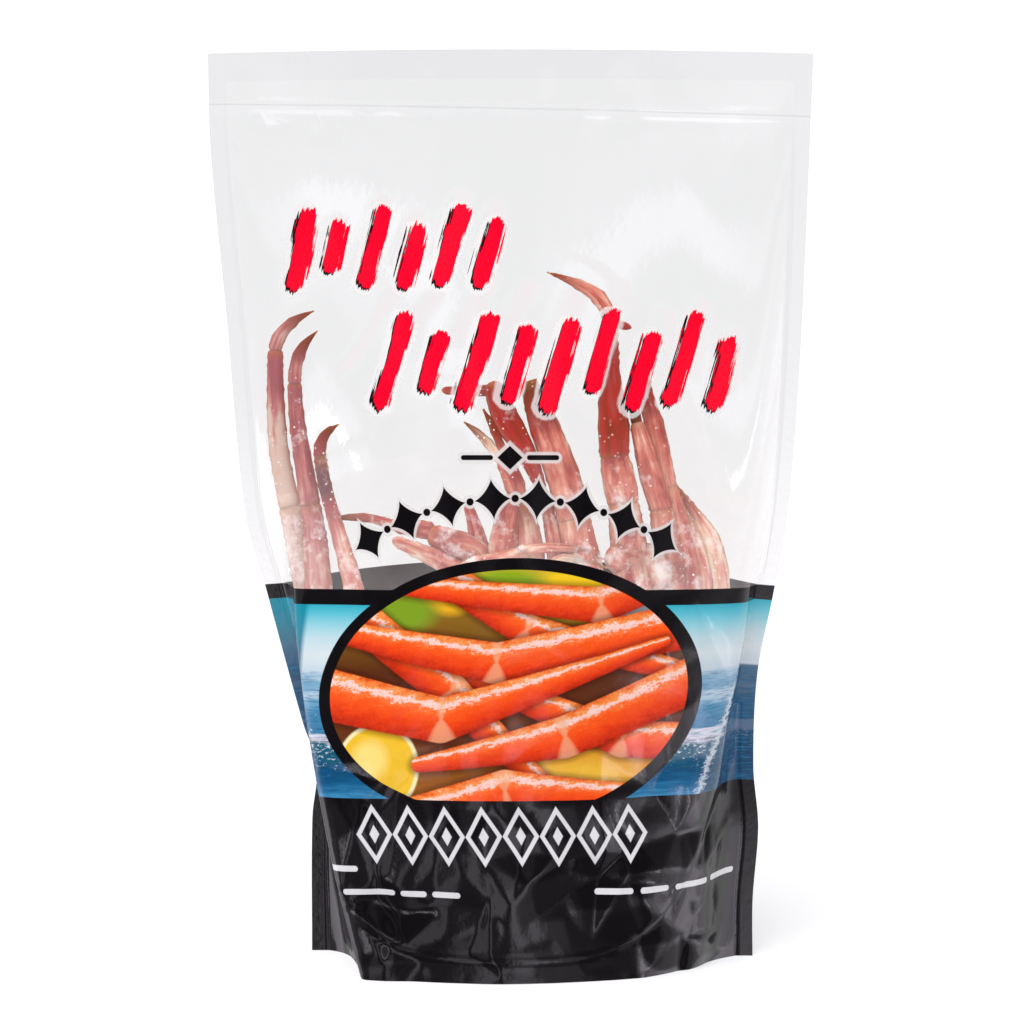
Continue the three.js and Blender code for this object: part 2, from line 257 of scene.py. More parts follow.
def spline(controls, t):
    """Points of a clamped cubic B-spline, for an array of t from 0 to 1 over all its spans."""
    padded = np.array([controls[0]] * 2 + list(controls) + [controls[-1]] * 2, float)
    spans = len(padded) - 3
    place = np.minimum(t * spans, spans - 1e-9)
    i = place.astype(int)
    f = (place - i)[:, None]
    return ((1 - f)**3 * padded[i] + (3 * f**3 - 6 * f**2 + 4) * padded[i + 1]
            + (-3 * f**3 + 3 * f**2 + 3 * f + 1) * padded[i + 2] + f**3 * padded[i + 3]) / 6


def mixed(a, b, share):
    """What lies a share of the way from a to b."""
    return a + (b - a) * share


def section(side, share):
    """Control points of the film from seal to seal at one height, seen from above: how far right
    and how far out of the pouch each lies."""
    bulge = follow(BULGE, share) * half_depth
    flare = follow(SEAL_FLARE, share)
    left = np.array([
        side_seal - follow(LEFT_EDGE, share) * half_width, follow(LEFT_SEAL_FORWARD, share)])
    right = np.array([
        follow(RIGHT_EDGE, share) * half_width - side_seal, follow(RIGHT_SEAL_FORWARD, share)])
    if side < 0:
        crease_left = np.array([-follow(LEFT_CREASE, share) * half_width,
                                follow(LEFT_CREASE_DEPTH, share) * bulge])
        crease_right = np.array([follow(RIGHT_CREASE, share) * half_width,
                                 follow(RIGHT_CREASE_DEPTH, share) * bulge])
        soft = follow(CREASE_SOFTNESS, share) * half_width
        soft = np.array([soft, soft * follow(CREASE_SLOPE, share)])
        across = [mixed(crease_left[0], crease_right[0], quarter / 4) for quarter in (1, 2, 3)]
        points = [
            left, mixed(left, crease_left, np.array([0.7 - flare, 0.16 + flare])),
            crease_left - soft, crease_left + soft,
            (across[0], mixed(crease_left[1], bulge, 0.8)), (across[1], bulge * 1.02),
            (across[2], mixed(crease_right[1], bulge, 0.75)), crease_right,
            mixed(right, crease_right, np.array([0.55 - flare / 2, 0.3 + flare])), right]
    else:
        inside = follow(BACK_CREASE, share) * half_width
        depth = follow(BACK_CREASE_DEPTH, share) * bulge
        in_left, in_right = left[0] + inside, right[0] - inside
        points = [
            left * (1, -1), (mixed(left[0], in_left, 0.7 - flare), depth * (0.25 + flare)),
            (in_left, depth), (mixed(in_left, in_right, 0.12), mixed(depth, bulge, 0.5)),
            (mixed(in_left, in_right, 0.3), bulge * 0.96),
            (mixed(in_left, in_right, 0.5), bulge * 1.01),
            (mixed(in_left, in_right, 0.7), bulge * 0.96), (in_right, depth),
            (mixed(right[0], in_right, 0.6 - flare), depth * (0.3 + flare)), right * (1, -1)]
    return np.array(points) * (1, side)


body_columns = 200
# The film's rows lie close together over the print and at the zip, and further apart between them.
row_heights = np.concatenate([
    np.arange(0, 215, 1.6), np.arange(215, 425, 4), np.arange(425, height, 1.2)])
row_shares = np.append(row_heights, height) / height
rows = len(row_shares)
seal_columns = 3


def film_sheet(side):
    """One panel as a grid of points, rows by columns, in millimetres, with its seals."""
    sheet = np.zeros((rows, body_columns + 1 + 2 * seal_columns, 3))
    fine = np.linspace(0, 1, 600)
    even = np.linspace(0, 1, body_columns + 1)
    over_seal = side_seal * np.linspace(1, 0, seal_columns, endpoint=False)
    bow_top = ROW_BOW[-1][1]
    for r, share in enumerate(row_shares):
        line = spline(section(side, share), fine)
        run = np.concatenate([[0], np.cumsum(np.linalg.norm(np.diff(line, axis=0), axis=1))])
        x, y = (np.interp(even, run / run[-1], line[:, way]) for way in (0, 1))
        x = np.concatenate([x[0] - over_seal, x, x[-1] + over_seal[::-1]])
        rise = follow(ROW_BOW, share) * np.maximum(0, np.sin(np.pi * (x / width + 0.5)))**0.8
        sheet[r, :, 0] = x
        sheet[r, :, 1] = np.pad(y, seal_columns, mode="edge") + side * seal_thickness / 2
        sheet[r, :, 2] = share * (height - bow_top) + rise
    return sheet


def bump(x, z, spot):
    """A push with four flat sides, 1 at the middle of the spot and 0 outside its reach."""
    away = np.abs(x - spot[0] + 0.4 * (z - spot[1])) / spot[2] + np.abs(z - spot[1]) / spot[3]
    return np.clip(1 - away / 2.2, 0, 1)


# x, z, reach across, reach up and push, in millimetres, of the hollows in the front, and of two
# small dents below the zip.
HOLLOWS = [(113, 73, 10, 10, 2.2), (116, 140, 8, 26, 4.0), (-60, 38, 11, 8, 3.0),
           (-124, 432, 8, 4, 1.1), (-94, 428, 5, 5, 0.9)]

# Where shells press on the front film from inside: x and z of both ends, push and fall. The push is
# in millimetres, and the fall is how steeply the film drops away to either side.
PRESSED = [
    (-66, 31, -66, 16, 1.8, 0.16), (-59, 15, -8, 34, 1.6, 0.09), (-8, 34, 27, 33, 1.2, 0.08),
    (0, 43, -20, 74, 2.0, 0.07), (0, 43, 22, 66, 1.9, 0.09), (-58, 52, -38, 84, 1.3, 0.07),
    (36, 38, 66, 40, 1.4, 0.10), (68, 42, 83, 27, 2.6, 0.20), (83, 27, 92, 44, 2.6, 0.22),
    (101, 72, 96, 40, 3.0, 0.20), (112, 66, 104, 22, 3.2, 0.22), (52, 84, 78, 58, 1.6, 0.08),
    (92, 100, 98, 80, 2.2, 0.14), (-40, 8, 12, 6, 0.8, 0.06), (-78, 96, -66, 60, 1.2, 0.07),
    (-84, 150, -72, 118, 1.0, 0.05), (-30, 130, 16, 150, 0.9, 0.035), (30, 110, 66, 132, 1.0, 0.04),
    (-50, 165, -10, 180, 0.8, 0.03), (84, 168, 96, 128, 1.6, 0.07), (40, 176, 74, 160, 0.9, 0.04),
    (-20, 96, 30, 92, 0.9, 0.04)]


def tented(x, z):
    """The film held out over the shells that press on it, and falling away flat between them."""
    held = np.full_like(x, -2.0)
    for x0, z0, x1, z1, push, fall in PRESSED:
        along = ((x - x0) * (x1 - x0) + (z - z0) * (z1 - z0)) / ((x1 - x0)**2 + (z1 - z0)**2)
        along = np.clip(along, 0, 1)
        away = np.hypot(x - x0 - along * (x1 - x0), z - z0 - along * (z1 - z0))
        away = np.hypot(away, 2.0) - 2.0
        held = np.maximum(held, push - fall * away)
    fade = np.clip((215 - z) / 40, 0, 1)
    return held * fade


facet_width, facet_height = 18.0, 25.0
facet_top = 220.0
facet_stand = 1.6
facet_seed = 6


def handled(x, z):
    """How far, in millimetres, the film's facets stand in and out: most low down and to the right."""
    low = np.clip((125 - z) / 50, 0.3, 1) * np.clip((facet_top - z) / 40, 0, 1)
    aside = np.clip((x - 20) / 50, 0, 1) + 0.75 * np.clip((-x - 30) / 40, 0, 1)
    return facet_stand * low * (0.35 + 0.65 * aside)


def crumpled(x, z, side):
    """Handled film keeps flat facets between sharp creases: it runs flat from each to the next of
    three scattered points, which stand a little in or out."""
    random = np.random.default_rng(facet_seed + side)
    across = np.arange(-half_width - facet_width, half_width + 2 * facet_width, facet_width)
    up = np.arange(-facet_height, facet_top + 2 * facet_height, facet_height)
    spots = np.stack(np.meshgrid(across, up), -1).reshape(-1, 2)
    spots = spots + random.uniform(-0.45, 0.45, spots.shape) * (facet_width, facet_height)
    stand = random.normal(0, 1, len(spots)) * handled(*spots.T)
    _, _, corners, *_ = delaunay_2d_cdt([Vector(spot) for spot in spots], [], [], 0, 1e-6)
    field = np.zeros_like(x)
    for three in corners:
        plane = np.column_stack([spots[three], np.ones(3)])
        shares = np.einsum("ij,j...->i...", np.linalg.inv(plane.T), np.stack([x, z, np.ones_like(x)]))
        inside = (shares >= 0).all(axis=0)
        field[inside] = (shares * stand[three][:, None, None]).sum(axis=0)[inside]
    return field


bottom_seal = 12.0
seal_climb = 30
seal_step = 2.2
zip_relief = 0.6
zip_spacing = 3.4
rail_reach = 1.1


def relief(sheet, side):
    """The zip's rails, the step above the gusset's seal, tents and hollows, pressed into a panel."""
    x, z = sheet[..., 0], sheet[..., 2]
    climb = seal_climb * (np.abs(x) / (0.55 * half_width))**4
    push = -seal_step / (1 + np.exp(4 * (z - bottom_seal - climb) / 3))
    for rail in (-1, 1):
        away = (z - zip_height - zip_slope * x - rail * zip_spacing / 2) / rail_reach
        push = push + zip_relief * np.exp(-away**2)
    push = push + crumpled(x, z, side)
    if side < 0:
        push = push + tented(x, z)
        for spot in HOLLOWS:
            push = push - spot[4] * bump(x, z, spot)
    across = np.linspace(0, 1, body_columns + 1)
    fade = np.zeros(sheet.shape[1])
    fade[seal_columns:-seal_columns] = np.minimum(1, 12 * across * (1 - across))
    shaped = sheet.copy()
    shaped[..., 1] += side * push * fade
    return shaped


def smoothed(field):
    """Each point of a grid moved halfway to the mean of its four neighbours."""
    padded = np.pad(field, ((1, 1), (1, 1), (0, 0)), mode="edge")
    around = padded[2:, 1:-1] + padded[:-2, 1:-1] + padded[1:-1, 2:] + padded[1:-1, :-2]
    return 0.5 * field + 0.125 * around


def outward(sheet, side):
    """Unit normals of a panel's grid, pointing out of the pouch."""
    across = np.gradient(sheet, axis=1)
    up = np.gradient(sheet, axis=0)
    normal = np.cross(across, up) * -side
    return normal / np.linalg.norm(normal, axis=2, keepdims=True)


# The pairs of neighbours in a grid: along its rows, up its columns and both ways aslant, each in
# two turns that leave every point in one pair alone.
turns = [(slice(first, -1, 2), slice(first + 1, None, 2)) for first in (0, 1)]
whole, but_last, but_first = slice(None), slice(None, -1), slice(1, None)
NEIGHBOURS = [((whole, near), (whole, far)) for near, far in turns]
for here, there in ((whole, whole), (but_last, but_first), (but_first, but_last)):
    NEIGHBOURS += [((near, here), (far, there)) for near, far in turns]


def buckled(shape, start, slack, free, rounds, hold, soften):
    """A sheet with a little more film than its shape has room for, left to buckle into wrinkles.
    Links between neighbours keep the film's own length while the sheet is drawn to its shape."""
    lengths = []
    for here, there in NEIGHBOURS:
        taut = np.linalg.norm(shape[there] - shape[here], axis=2)
        lengths.append(taut * (1 + 0.5 * (slack[here] + slack[there])))
    points = start.copy()
    for _ in range(rounds):
        for (here, there), own_length in zip(NEIGHBOURS, lengths):
            a, b = points[here], points[there]
            apart = b - a
            length = np.linalg.norm(apart, axis=2)
            move = (0.5 * (1 - own_length / np.maximum(length, 1e-6)))[..., None] * apart
            a += move * free[here]
            b -= move * free[there]
        strayed = points - shape
        strayed = mixed(strayed, smoothed(strayed), soften) * (1 - hold)
        points = shape + strayed * free
    return points


def finer(field, size):
    """A coarse grid read at a finer grid's points."""
    rows_in, cols_in = field.shape[:2]
    r = np.linspace(0, rows_in - 1, size[0])
    c = np.linspace(0, cols_in - 1, size[1])
    r0 = np.minimum(r.astype(int), rows_in - 2)
    c0 = np.minimum(c.astype(int), cols_in - 2)
    fr = (r - r0)[:, None, None]
    fc = (c - c0)[None, :, None]
    low = mixed(field[r0][:, c0], field[r0][:, c0 + 1], fc)
    high = mixed(field[r0 + 1][:, c0], field[r0 + 1][:, c0 + 1], fc)
    return mixed(low, high, fr)


tight_slack, corner_slack, base_slack = 0.0015, 0.003, 0.0015


def slack_of(sheet, side):
    """How much longer than its shape the film is: tight over the contents, loose by the corners."""
    x = np.abs(sheet[..., 0]) / half_width
    z = sheet[..., 2] / height
    corner = np.clip((x - 0.45) / 0.4, 0, 1) * np.clip((0.5 - z) / 0.15, 0.15, 1)
    loose = tight_slack + corner_slack * corner + base_slack * np.exp(-((z - 0.1) / 0.12)**2)
    if side > 0:
        loose = loose * (1 - 0.9 * np.clip((z - 0.38) / 0.1, 0, 1))
    return loose * (1 - 0.85 * np.clip((x - 0.66) / 0.08, 0, 1))


def wrinkled(sheet, side, seed):
    """The panel after it has buckled, from broad folds at a coarse grid down to fine ones."""
    shape = relief(sheet, side)
    free = np.ones(sheet.shape[:2])
    from_seal = np.minimum(np.arange(sheet.shape[1]), np.arange(sheet.shape[1])[::-1])
    free *= np.clip((from_seal - seal_columns + 1) / 6, 0.1, 1)
    free[0] = 0
    free[-3:] = 0.1
    slack = slack_of(sheet, side)
    random = np.random.default_rng(seed)
    strayed = None
    size = sheet.shape[:2]
    schedule = ((5, 400, 0.0005, 0.01), (2, 250, 0.001, 0.02), (1, 100, 0.002, 0.05))
    for step, rounds, hold, soften in schedule:
        coarse = [np.unique(np.concatenate([np.arange(0, n, step), [n - 1]])) for n in size]
        pick = np.ix_(coarse[0], coarse[1])
        target = shape[pick]
        if strayed is None:
            jitter = random.normal(0, 0.6, target.shape[:2])[..., None]
            start = target + jitter * outward(target, side) * free[pick][..., None]
        else:
            start = target + finer(strayed, target.shape[:2]) * free[pick][..., None]
        settled = buckled(target, start, slack[pick], free[pick][..., None], rounds, hold, soften)
        strayed = settled - target
    return shape + strayed


front = wrinkled(film_sheet(-1), -1, 11)
back = wrinkled(film_sheet(1), 1, 23)
crossed = np.minimum(back[..., 1] - front[..., 1] - seal_thickness, 0) / 2
front[..., 1] += crossed
back[..., 1] -= crossed
depth_middle = (front[..., 1].min() + back[..., 1].max()) / 2
front[..., 1] -= depth_middle
back[..., 1] -= depth_middle


def grid_faces(first, across, up, turned=False):
    """Faces of a grid whose points lie row by row from number first."""
    faces = []
    for r in range(up - 1):
        for c in range(across - 1):
            a = first + r * across + c
            face = (a, a + 1, a + across + 1, a + across)
            faces.append(face[::-1] if turned else face)
    return faces


columns = front.shape[1]
points = [front.reshape(-1, 3), back.reshape(-1, 3)]
back_first = rows * columns
faces = grid_faces(0, columns, rows) + grid_faces(back_first, columns, rows, turned=True)

# The front's print differs by height. Each of its rows of faces takes the material of its zone:
# lower picture, arch, lower dabs, upper dabs, clear header.
ZONE_TOPS = [207.5, 280, 343, 396]
BACK_SLOT, GUSSET_SLOT = 5, 6
row_zone = np.searchsorted(ZONE_TOPS, (row_shares[1:] + row_shares[:-1]) / 2 * height).tolist()
slots = [zone for zone in row_zone for _ in range(columns - 1)]
slots += [BACK_SLOT] * ((rows - 1) * (columns - 1))

for r in range(rows - 1):
    a, b = r * columns, back_first + r * columns
    faces.append((b, a, a + columns, b + columns))
    a, b = a + columns - 1, b + columns - 1
    faces.append((a, b, b + columns, a + columns))
    slots += [row_zone[r]] * 2
top = (rows - 1) * columns
for c in range(columns - 1):
    faces.append((top + c, top + c + 1, back_first + top + c + 1, back_first + top + c))
slots += [row_zone[-1]] * (columns - 1)

gusset_steps = [0.03, 0.08, 0.2, 0.35, 0.5, 0.65, 0.8, 0.92, 0.97]
gusset_lift = [0.9, 1, 0.35, 0, 0, 0, 0.35, 1, 0.9]
gusset_recess = 4.0
opened = np.clip((back[0, :, 1] - front[0, :, 1] - 12) / 40, 0, 1)
lines = [list(range(columns))]
count = 2 * rows * columns
for share, lift in zip(gusset_steps, gusset_lift):
    line = mixed(front[0], back[0], share)
    line[:, 2] = gusset_recess * lift * opened
    points.append(line)
    lines.append(list(range(count, count + columns)))
    count += columns
lines.append(list(range(back_first, back_first + columns)))
for near, far in zip(lines, lines[1:]):
    for c in range(columns - 1):
        faces.append((near[c], far[c], far[c + 1], near[c + 1]))
for end, order in ((0, 1), (columns - 1, -1)):
    faces.append(tuple(line[end] for line in lines)[::-order])
slots += [GUSSET_SLOT] * (len(faces) - len(slots))


def flat_place():
    """Where a point lies on the flat film: millimetres right of the middle and up from the base."""
    place = node("VectorMath MULTIPLY", node("UVMap", uv_map="flat_film"), (1 / MM, 1 / MM, 0))
    return [place, *node("SeparateXYZ", place).node.outputs][:3]


def inked(distance, softness=0.25, reach=0.0):
    """1 inside a shape or within reach of it, and 0 outside, from a distance in millimetres."""
    return node("MULTIPLY_ADD", distance, -1 / softness, 0.5 + reach / softness, use_clamp=True)


def least(*distances):
    """The nearest of several distances."""
    nearest, *others = distances
    for distance in others:
        nearest = node("MINIMUM", nearest, distance)
    return nearest


def strip(value, middle=0.0, half=0.0):
    """The distance outside a strip about the middle."""
    away = node("ABSOLUTE", node("SUBTRACT", value, middle))
    return node("SUBTRACT", away, half)


def in_cell(value, pitch):
    """Distance from the middle of the cell that a value lies in, in a row with this pitch."""
    return node("MULTIPLY_ADD", node("FRACT", value), pitch, -pitch / 2)


def bar(place, x0, y0, x1, y1):
    """Distance from a straight bar's axis, the share of its length, and how far left of it."""
    length = math.hypot(x1 - x0, y1 - y0)
    way = ((x1 - x0) / length, (y1 - y0) / length)
    from_start = node("VectorMath SUBTRACT", place, (x0, y0, 0))
    run = node("VectorMath DOT_PRODUCT", from_start, (way[0] / length, way[1] / length, 0))
    share = node("ADD", run, 0.0, use_clamp=True)
    nearest = node("VectorMath SCALE", (x1 - x0, y1 - y0, 0), share)
    aside = node("VectorMath DOT_PRODUCT", from_start, (-way[1], way[0], 0))
    return node("VectorMath DISTANCE", from_start, nearest), share, aside


def ellipse(place, middle, radii):
    """Roughly the distance outside an ellipse."""
    scaled = node("VectorMath DIVIDE", node("VectorMath SUBTRACT", place, (*middle, 0)), (*radii, 1))
    return node("MULTIPLY_ADD", node("VectorMath LENGTH", scaled), min(radii), -min(radii))


def lozenge(across, up, half_across, half_up, bow=1.0):
    """Roughly the distance outside a lozenge, whose sides curve in where bow is below 1."""
    x, y = (node("POWER", node("MULTIPLY", node("ABSOLUTE", value), 1 / half), bow)
            for value, half in ((across, half_across), (up, half_up)))
    outside = node("SUBTRACT", node("ADD", x, y), 1.0)
    return node("MULTIPLY", outside, 0.6 * min(half_across, half_up) / bow)


def ripples(place, spread, turn=0.0, detail=3.0, roughness=0.5):
    """Noise from 0 to 1 whose grains are spread (across, up) millimetres wide, turned by turn."""
    laid = node("Mapping", {"Vector": place, "Rotation": (0, 0, turn), "Scale": (*spread, 1)},
                vector_type="TEXTURE")
    return node("TexNoise", laid, 1.0, detail, roughness)


# What the film mirrors straight on, and the sizes in millimetres of the frost's patches inside it, of
# the waves of its orange peel and of their height.
film_mirrors = 0.082
frost_patch = 45.455
peel_wave, peel_height = 3.5714, 0.06


def laminate(ink, colour, brightness=0.78):
    """Clear PET and PE laminate, frosty inside, with ink behind it where ink is 1. Both faces of
    the film mirror, so it mirrors 8% of what is straight before it and more edge on. The film
    over the ink takes some light, which brightness allows for."""
    object_place = node("TexCoord").node.outputs["Object"]
    _, across, up = flat_place()
    in_side_seal = node("SUBTRACT", half_width - side_seal, node("ABSOLUTE", across))
    in_top_seal = node("SUBTRACT", height - top_seal, up)
    welded = inked(least(in_side_seal, in_top_seal), 0.8)
    clear = node("BsdfTransparent", node(
        "Mix RGBA", welded, (0.95, 0.952, 0.956, 1), (0.935, 0.935, 0.943, 1)))
    height_up = node("SeparateXYZ", object_place).node.outputs["Z"]
    low_down = node("MapRange", height_up, 0.28, 0.19, 0.01, 0.28)
    frost_pattern = node("TexNoise", object_place, 1 / (frost_patch * MM), 6.0, 0.6)
    veil = node("MULTIPLY", low_down, frost_pattern, use_clamp=True)
    frosted = node("MixShader", veil, clear, node("BsdfDiffuse", "#fbf6f6"))
    peel = node("TexNoise", object_place, 1 / (peel_wave * MM), 3.0, 0.55)
    uneven = node("Bump", {"Height": peel, "Strength": 1.0, "Distance": peel_height * MM})
    gloss = node("BsdfGlossy", {"Color": "#ffffff", "Roughness": 0.06, "Normal": uneven})
    edge_on = node("LayerWeight", 0.5).node.outputs["Facing"]
    mirrored = node("MULTIPLY_ADD", node("POWER", edge_on, 5.0), 1 - film_mirrors, film_mirrors)
    under_film = node("Mix RGBA", 1.0, colour, (brightness, brightness, brightness, 1),
                      blend_type="MULTIPLY")
    print_finish = node("BsdfPrincipled", {
        "Base Color": under_film, "Roughness": 0.12, "IOR": 1.52, "Normal": uneven})
    film = node("MixShader", mirrored, frosted, gloss)
    node("OutputMaterial", node("MixShader", ink, film, print_finish))


INK_BLACK, INK_WHITE, EDGING_WHITE = "#100d10", "#dedce0", "#dedad9"
black_top = 195.2
sea_top = 187.5
horizon = 154.0
sea_bottom = 92.7
RING = (1.1, 145.3), (101.3, 66.2)
PICTURE = (0.0, 145.3), (94.1, 60.3)


def seascape(place, across, up):
    """Plain stripes of colour: sky down to a pale horizon, then banded water with foam. The side flap
    past the left crease takes darker deep water as painted shade.
    """
    swell = ripples(place, (26, 3.0), 0.03, 4.0, 0.6)
    below = inked(up, 3.0, horizon)
    shift = node("MULTIPLY", node("MULTIPLY_ADD", swell, 18.0, -9.0), below)
    level = node("MapRange", node("ADD", up, shift), sea_bottom, sea_top)
    water = node("ValToRGB", level, stops=[
        (0, "#3a86b4"), (0.06, "#1b6390"), (0.12, "#0c4a72"), (0.19, "#0f5470"), (0.26, "#1b5f72"),
        (0.30, "#e0d7e6"), (0.325, "#c9d3e2"), (0.345, "#3c7ca2"), (0.42, "#4484ad"),
        (0.47, "#5f99bc"), (0.52, "#b9cfdf"), (0.56, "#6e9fc0"), (0.62, "#8fb4cd"), (0.66, "#c3d3de"),
        (0.74, "#d5dfe4"), (0.82, "#c0d9e1"), (0.89, "#93cddb"), (0.95, "#5cbdd0"), (1, "#2fa9bf")])
    fine = ripples(place, (9, 0.9), 0.02, 3.0, 0.6)
    streak = node("MULTIPLY", node("MapRange", fine, 0.5, 0.66, 0.0, 0.6), below)
    water = node("Mix RGBA", streak, water, "#1d5c8a")
    spray = ripples(place, (3.0, 1.6), 0.0, 5.0, 0.75)
    near_crest = node("MULTIPLY_ADD", strip(up, 117.0), -0.06, 1.0, use_clamp=True)
    foam = node("MapRange", node("MULTIPLY_ADD", near_crest, 0.14, spray), 0.66, 0.74)
    water = node("Mix RGBA", node("MULTIPLY", foam, below), water, "#e4e6f3")
    edge_foam = node("MULTIPLY_ADD", spray, 16.0, node("MULTIPLY", swell, 12.0))
    aslant = node("ADD", node("MULTIPLY_ADD", up, -0.5, across), edge_foam)
    outer = node("MULTIPLY", below, node("MapRange", aslant, 68.0, 74.0))
    depth = node("MapRange", up, sea_bottom, sea_top)
    deep_water = node("ValToRGB", depth, stops=[
        (0, "#0a3658"), (0.3, "#08466f"), (0.55, "#0a3f63"), (0.7, "#08577a"), (0.85, "#047b95"),
        (1, "#058aa0")])
    deep_water = node("Mix RGBA", streak, deep_water, "#2f7ea9")
    crest = node("MULTIPLY", outer, node("SUBTRACT", 1.0, outer))
    water = node("Mix RGBA", node("MULTIPLY", outer, 0.85), water, deep_water)
    water = node("Mix RGBA", node("MULTIPLY", crest, 3.0, use_clamp=True), water, "#dfe6f0")
    # Painted shade: past the left crease the sea turns to deep water, darkening the side flap that faces
    # away from the light.
    painted_flap_shade = node("MapRange", across, -111.0, -114.0, 0.0, 0.92)
    return node("Mix RGBA", painted_flap_shade, water, deep_water)


# Soft discs behind the food: middle, radii, softness and colour.
DISCS = [
    ((34, 194), (27, 13), 5, "#f4c81f"), ((-6, 197), (20, 9), 5, "#8aa81e"),
    ((-34, 194), (13, 10), 5, "#f0b41c"), ((-58, 184), (16, 9), 6, "#7d9c22"),
    ((66, 182), (12, 12), 7, "#b8c4cc"), ((44, 100), (44, 18), 3, "#d98f1a"),
    ((38, 104), (26, 9), 9, "#efb83a"), ((-66, 108), (22, 22), 1, "#f6e9b4"),
    ((-66, 108), (20, 20), 1, "#f2c02c"), ((-70, 112), (9, 9), 6, "#f9dc7c")]
# Bars with a knee: start, knee and tip, and the half widths there.
KNEED_BARS = [
    ((-64, 218), (6, 176), (100, 152), (9, 8, 5)), ((114, 118), (60, 122), (-52, 166), (10, 9, 4)),
    ((112, 216), (44, 188), (-94, 200), (10, 9, 3)), ((-104, 196), (-30, 146), (24, 96), (10, 9, 5)),
    ((116, 182), (-8, 160), (-104, 176), (12, 10, 5)),
    ((-110, 146), (-34, 132), (80, 170), (13, 11, 2.5)),
    ((116, 158), (30, 124), (-44, 110), (12.5, 10.5, 4)), ((-60, 78), (0, 98), (88, 92), (12, 10, 5))]


def food_picture(place, up):
    """Soft discs of yellow, green and amber, and a pile of tapered, glossy orange-red bars."""
    colour = node("ValToRGB", node("MapRange", up, 92.0, 206.0), stops=[
        (0, "#a4611e"), (0.25, "#6a3416"), (0.55, "#5a2c14"), (0.8, "#8c641e"), (1, "#d0ae2c")])
    for middle, radii, softness, shade in DISCS:
        colour = node("Mix RGBA", inked(ellipse(place, middle, radii), softness), colour, shade)
    mottle = ripples(place, (8, 3.5), 0.2, 3.0, 0.6)
    spots = ripples(place, (1.8, 1.5), 0.0, 3.0, 0.7)
    uneven = node("MULTIPLY_ADD", mottle, 0.34, node("MULTIPLY", spots, 0.28))
    for start, knee, tip, halves in KNEED_BARS:
        reach, shade = [], []
        for (x0, y0), (x1, y1), half0, half1 in (
                (start, knee, *halves[:2]), (knee, tip, *halves[1:])):
            distance, share, aside = bar(place, x0, y0, x1, y1)
            half = node("MULTIPLY_ADD", share, half1 - half0, half0)
            reach.append(node("SUBTRACT", distance, half))
            upper_side = 1 if x1 > x0 else -1
            rounded = node("DIVIDE", aside, half)
            shade.append(node("MULTIPLY_ADD", rounded, 0.42 * upper_side, 0.22))
        past_knee = node("SUBTRACT", *reach)
        outside = least(*reach)
        gloom = node("MULTIPLY", inked(outside, 4.5, 1.0), 0.85)
        colour = node("Mix RGBA", gloom, colour, "#3c0f06")
        lit = node("Mix", node("GREATER_THAN", past_knee, 0.0), *shade)
        shell = node("ValToRGB", node("ADD", uneven, lit), stops=[
            (0, "#841a0a"), (0.15, "#c62c10"), (0.34, "#ea3f14"), (0.58, "#fb5a1c"),
            (0.69, "#fb7a3c"), (0.72, "#f8bfae"), (0.79, "#f9d6d2"), (0.83, "#f89a52"),
            (0.94, "#f06a28"), (1, "#d04a1a")])
        joint = inked(strip(past_knee, 0.0, 0.7), 1.0)
        shell = node("Mix RGBA", node("MULTIPLY", joint, 0.6), shell, "#f3b287")
        colour = node("Mix RGBA", inked(outside, 0.7), colour, shell)
    return colour


# The lower print: black, with a sea panel to each side of a ringed oval picture, a row of open
# lozenges and short bars under them.
lower_print, tree = new_material("reverse_printed_laminate_lower")
place, across, up = flat_place()
ink = node("MAXIMUM", inked(ellipse(place, *RING)), inked(up, reach=black_top))
in_panel = least(node("SUBTRACT", sea_top, up), node("SUBTRACT", up, sea_bottom),
                 ellipse(place, *RING))
panel = inked(node("MULTIPLY", in_panel, -1.0))
colour = node("Mix RGBA", panel, INK_BLACK, seascape(place, across, up))
picture = node("MAXIMUM", ellipse(place, *PICTURE), node("SUBTRACT", sea_bottom, up))
colour = node("Mix RGBA", inked(picture), colour, food_picture(place, up))
pitch, lozenge_middle, row_start, lozenge_count = 19.1, 75.0, -79.6, 8
aside = in_cell(node("MULTIPLY_ADD", across, 1 / pitch, -row_start / pitch), pitch)
above = node("SUBTRACT", up, lozenge_middle)
outline = strip(lozenge(aside, above, 8.2, 13.0), 0.0, 0.75)
row_half = lozenge_count / 2 * pitch
white = node("MAXIMUM", least(outline, lozenge(aside, above, 2.6, 4.6)),
             strip(across, row_start + row_half, row_half))
short_bars = least(*[bar(place, x0, y, x1, y)[0] for x0, x1, y in (
    (-98, -82, 57.5), (-88, -63, 45.5), (-57, -46, 45.5), (-40, -28, 45.5), (46, 64, 46.5),
    (71, 84, 46.5), (91, 111, 46.5), (118, 138, 46.5))])
white = least(white, node("SUBTRACT", short_bars, 1.5))
laminate(ink, node("Mix RGBA", inked(white), colour, INK_WHITE))

# The arch above the picture: eight black four-pointed lozenges and dots, edged in white, and a
# small bar and lozenge ornament over them.
arch_print, tree = new_material("reverse_printed_laminate_arch")
place, across, up = flat_place()
arch_middle, arch_radius, pitch, arch_count = (-1.0, 87.3), 153.7, 23.3, 8
from_middle = node("VectorMath SUBTRACT", place, (*arch_middle, 0))
to_right, upward, _ = node("SeparateXYZ", from_middle).node.outputs
outward_by = node("SUBTRACT", node("VectorMath LENGTH", from_middle), arch_radius)
cell = node("MULTIPLY", node("ARCTAN2", to_right, upward), arch_radius / pitch)
between = in_cell(node("ADD", cell, 0.5), pitch)
past_end = node("MULTIPLY", strip(cell, 0.0, arch_count / 2), pitch)
stars = node("MAXIMUM", lozenge(in_cell(cell, pitch), outward_by, 9.6, 10.4, 0.72), past_end)
from_dot = node("VectorMath LENGTH", node("CombineXYZ", between, outward_by))
dots = node("MAXIMUM", node("SUBTRACT", from_dot, 1.9), node("ADD", past_end, 6.0))
